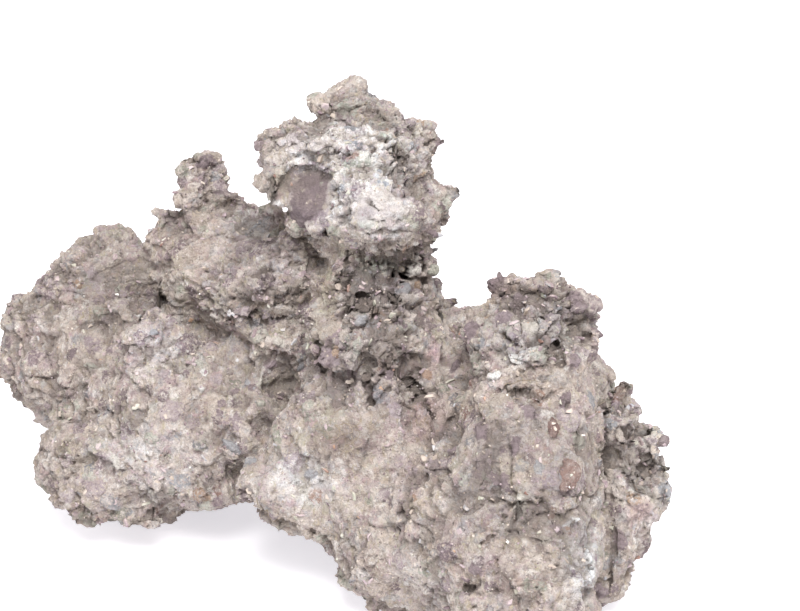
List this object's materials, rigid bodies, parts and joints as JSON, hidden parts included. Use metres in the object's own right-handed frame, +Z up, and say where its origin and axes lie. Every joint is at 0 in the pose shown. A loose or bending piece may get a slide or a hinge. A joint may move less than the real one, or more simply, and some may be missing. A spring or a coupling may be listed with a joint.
{
  "type": "ibigawa rock",
  "caption": "Rugged grey-brown breccia rock of cemented shale chips, with a waisted chimney, a rounded front knob, a back ridge with a small horn, and low feet.",
  "frame": {"origin": "on the resting plane, under the middle of the rock's box", "axes": "+Z up, front of the rock towards -Y, long side along X with the chimney and the knob on the +X half"},
  "size_m": [0.2194, 0.1662, 0.1475],
  "materials": {
    "breccia": "dry, gritty and matt"
  },
  "bodies": {
    "root": {"rock": "breccia"}
  },
  "joints": []
}
